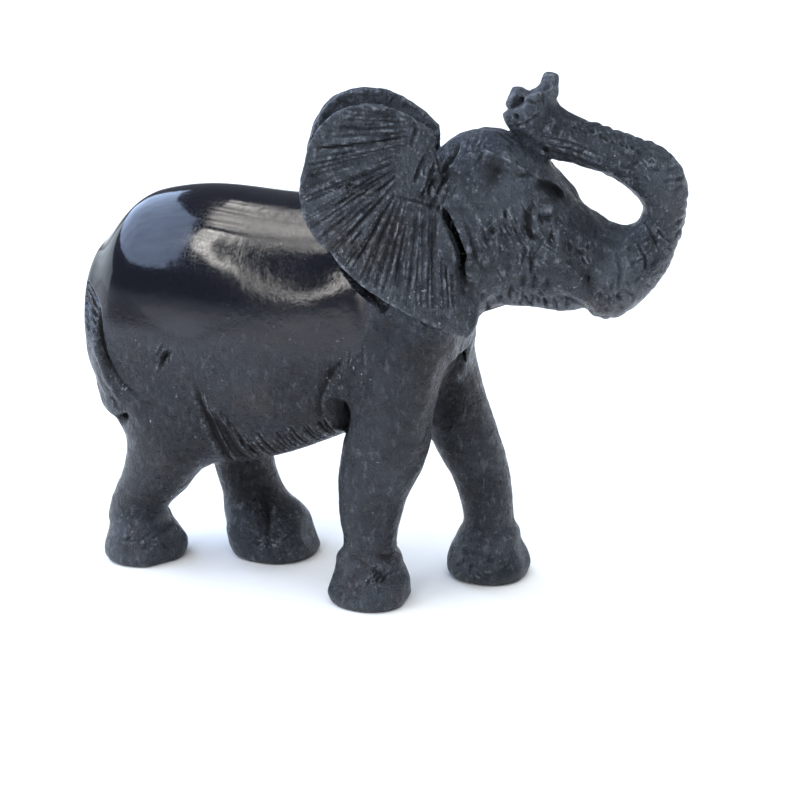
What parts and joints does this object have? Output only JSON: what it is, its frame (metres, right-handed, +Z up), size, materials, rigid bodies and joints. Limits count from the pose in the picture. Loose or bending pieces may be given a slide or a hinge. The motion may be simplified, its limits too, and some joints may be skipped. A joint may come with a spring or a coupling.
{
  "type": "carved elephant figurine",
  "caption": "Walking elephant carved in dark wood, trunk curled up and back over its forehead, ears spread, standing on its own feet.",
  "frame": {"origin": "middle of the figure's bounding box, at floor level under the soles", "axes": "+X the way the elephant walks, +Y its left side, +Z up"},
  "size_m": [0.146, 0.0528, 0.1243],
  "materials": {
    "polished_wood": "gloss",
    "carved_wood": "satin, tool marked"
  },
  "bodies": {
    "root": {"torso": "polished_wood", "head": "carved_wood", "lower_jaw": "carved_wood", "trunk": "carved_wood", "trunk_tip": "carved_wood", "right_ear": "carved_wood", "left_ear": "carved_wood", "right_eye": "carved_wood", "left_eye": "carved_wood", "front_right_leg": "carved_wood", "front_left_leg": "carved_wood", "rear_right_leg": "carved_wood", "rear_left_leg": "carved_wood", "front_right_foot": "carved_wood", "front_left_foot": "carved_wood", "rear_right_foot": "carved_wood", "rear_left_foot": "carved_wood", "tail": "carved_wood", "tail_tuft": "carved_wood"}
  },
  "joints": []
}
